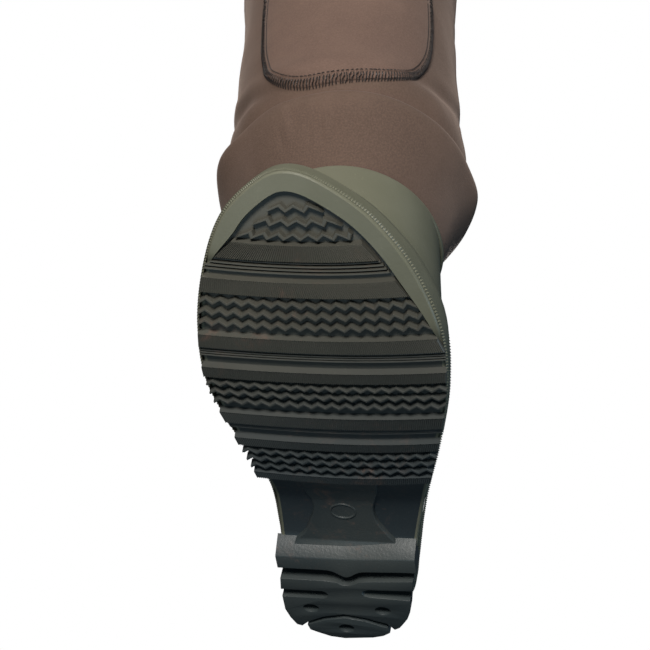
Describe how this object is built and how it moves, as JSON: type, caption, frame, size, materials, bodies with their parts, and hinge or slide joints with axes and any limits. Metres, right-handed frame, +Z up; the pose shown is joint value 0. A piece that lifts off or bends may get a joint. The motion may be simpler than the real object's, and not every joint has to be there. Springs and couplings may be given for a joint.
{
  "type": "chest waders",
  "caption": "Neoprene chest waders with rubber bootfeet, cleated soles, knee patches, bib pocket, belt and buckled shoulder straps, hung by the shoulders with jointed legs.",
  "frame": {"origin": "where the shoulder straps rest on the wearer's shoulders, midway between the two straps", "axes": "+Z up, -Y the wearer's front, +X the wearer's left"},
  "size_m": [0.6466, 0.3793, 1.4879],
  "materials": {
    "neoprene": "matte brown nylon-faced neoprene",
    "knee_patch": "matte brown neoprene patch with overlocked edge",
    "boot_rubber": "satin olive rubber",
    "sole_rubber": "satin slate rubber",
    "webbing": "woven webbing",
    "binding": "matte black binding tape",
    "buckle": "matte moulded plastic",
    "metal": "satin steel",
    "insole": "dark felt"
  },
  "bodies": {
    "bib": {"front_panel": "neoprene", "back_panel": "neoprene", "seat_gusset": "neoprene", "top_binding": "binding", "chest_pocket": "neoprene", "pocket_snap_studs": "metal", "d_ring_tab": "webbing", "belt": "webbing", "belt_loops": "webbing", "belt_socket": "buckle", "back_yoke": "webbing", "yoke_patch": "binding", "left_shoulder_strap": "webbing", "left_strap_tab": "webbing", "left_buckle_socket": "buckle", "left_hip_sleeve": "neoprene", "right_shoulder_strap": "webbing", "right_strap_tab": "webbing", "right_buckle_socket": "buckle", "right_hip_sleeve": "neoprene"},
    "flap": {"pocket_flap": "neoprene", "flap_snap_caps": "metal"},
    "d_ring": {"d_ring": "metal"},
    "belt_clip": {"belt_clip": "buckle", "belt_end_loop": "webbing"},
    "left_clip": {"left_buckle_clip": "buckle", "left_strap_loop": "webbing"},
    "left_adjuster": {"left_adjuster": "buckle"},
    "left_thigh": {"left_thigh": "neoprene", "left_knee_sleeve": "neoprene", "left_knee_pad": "knee_patch"},
    "left_shin": {"left_shin": "neoprene", "left_ankle_fold": "neoprene"},
    "left_boot": {"left_boot_shell": "boot_rubber", "left_boot_lip": "boot_rubber", "left_grip_band": "boot_rubber", "left_outsole": "sole_rubber", "left_tread_bars": "sole_rubber", "left_tread_ribs": "sole_rubber", "left_insole": "insole", "left_shank": "metal"},
    "right_clip": {"right_buckle_clip": "buckle", "right_strap_loop": "webbing"},
    "right_adjuster": {"right_adjuster": "buckle"},
    "right_thigh": {"right_thigh": "neoprene", "right_knee_sleeve": "neoprene", "right_knee_pad": "knee_patch"},
    "right_shin": {"right_shin": "neoprene", "right_ankle_fold": "neoprene"},
    "right_boot": {"right_boot_shell": "boot_rubber", "right_boot_lip": "boot_rubber", "right_grip_band": "boot_rubber", "right_outsole": "sole_rubber", "right_tread_bars": "sole_rubber", "right_tread_ribs": "sole_rubber", "right_insole": "insole", "right_shank": "metal"}
  },
  "joints": [
    {"name": "pocket_flap_hinge", "type": "hinge", "parent": "bib", "child": "flap", "pos_m": [0, -0.132, -0.237], "axis": [-1, 0, 0], "range_deg": [0, 45]},
    {"name": "d_ring_swing", "type": "hinge", "parent": "bib", "child": "d_ring", "pos_m": [-0.1527, -0.1061, -0.2944], "axis": [-0.8572, 0.515, 0], "range_deg": [0, 70]},
    {"name": "belt_clip_slide", "type": "slide", "parent": "bib", "child": "belt_clip", "axis": [-1, 0, 0], "range_m": [0, 0.028]},
    {"name": "left_clip_slide", "type": "slide", "parent": "bib", "child": "left_clip", "axis": [-0.0664, 0.2847, 0.9563], "range_m": [0, 0.028]},
    {"name": "left_adjuster_slide", "type": "slide", "parent": "bib", "child": "left_adjuster", "axis": [-0.0664, 0.2847, 0.9563], "range_m": [0, 0.01]},
    {"name": "left_hip", "type": "hinge", "parent": "bib", "child": "left_thigh", "pos_m": [0.1241, -0.03, -0.7143], "axis": [-1, 0, 0], "range_deg": [0, 45], "deforming": ["left_hip_sleeve"]},
    {"name": "left_knee", "type": "hinge", "parent": "left_thigh", "child": "left_shin", "pos_m": [0.1682, -0.052, -0.9959], "axis": [0.988, 0, 0.1547], "range_deg": [0, 75], "deforming": ["left_knee_sleeve", "left_knee_pad"]},
    {"name": "left_ankle", "type": "hinge", "parent": "left_shin", "child": "left_boot", "pos_m": [0.1988, -0.057, -1.1915], "axis": [-0.988, 0, -0.1547], "range_deg": [-12, 15], "deforming": ["left_ankle_fold"]},
    {"name": "right_clip_slide", "type": "slide", "parent": "bib", "child": "right_clip", "axis": [0.0664, 0.2847, 0.9563], "range_m": [0, 0.028]},
    {"name": "right_adjuster_slide", "type": "slide", "parent": "bib", "child": "right_adjuster", "axis": [0.0664, 0.2847, 0.9563], "range_m": [0, 0.01]},
    {"name": "right_hip", "type": "hinge", "parent": "bib", "child": "right_thigh", "pos_m": [-0.1241, -0.03, -0.7143], "axis": [-1, 0, 0], "range_deg": [0, 45], "deforming": ["right_hip_sleeve"]},
    {"name": "right_knee", "type": "hinge", "parent": "right_thigh", "child": "right_shin", "pos_m": [-0.1682, -0.052, -0.9959], "axis": [0.988, 0, -0.1547], "range_deg": [0, 75], "deforming": ["right_knee_sleeve", "right_knee_pad"]},
    {"name": "right_ankle", "type": "hinge", "parent": "right_shin", "child": "right_boot", "pos_m": [-0.1988, -0.057, -1.1915], "axis": [-0.988, 0, 0.1547], "range_deg": [-12, 15], "deforming": ["right_ankle_fold"]}
  ]
}
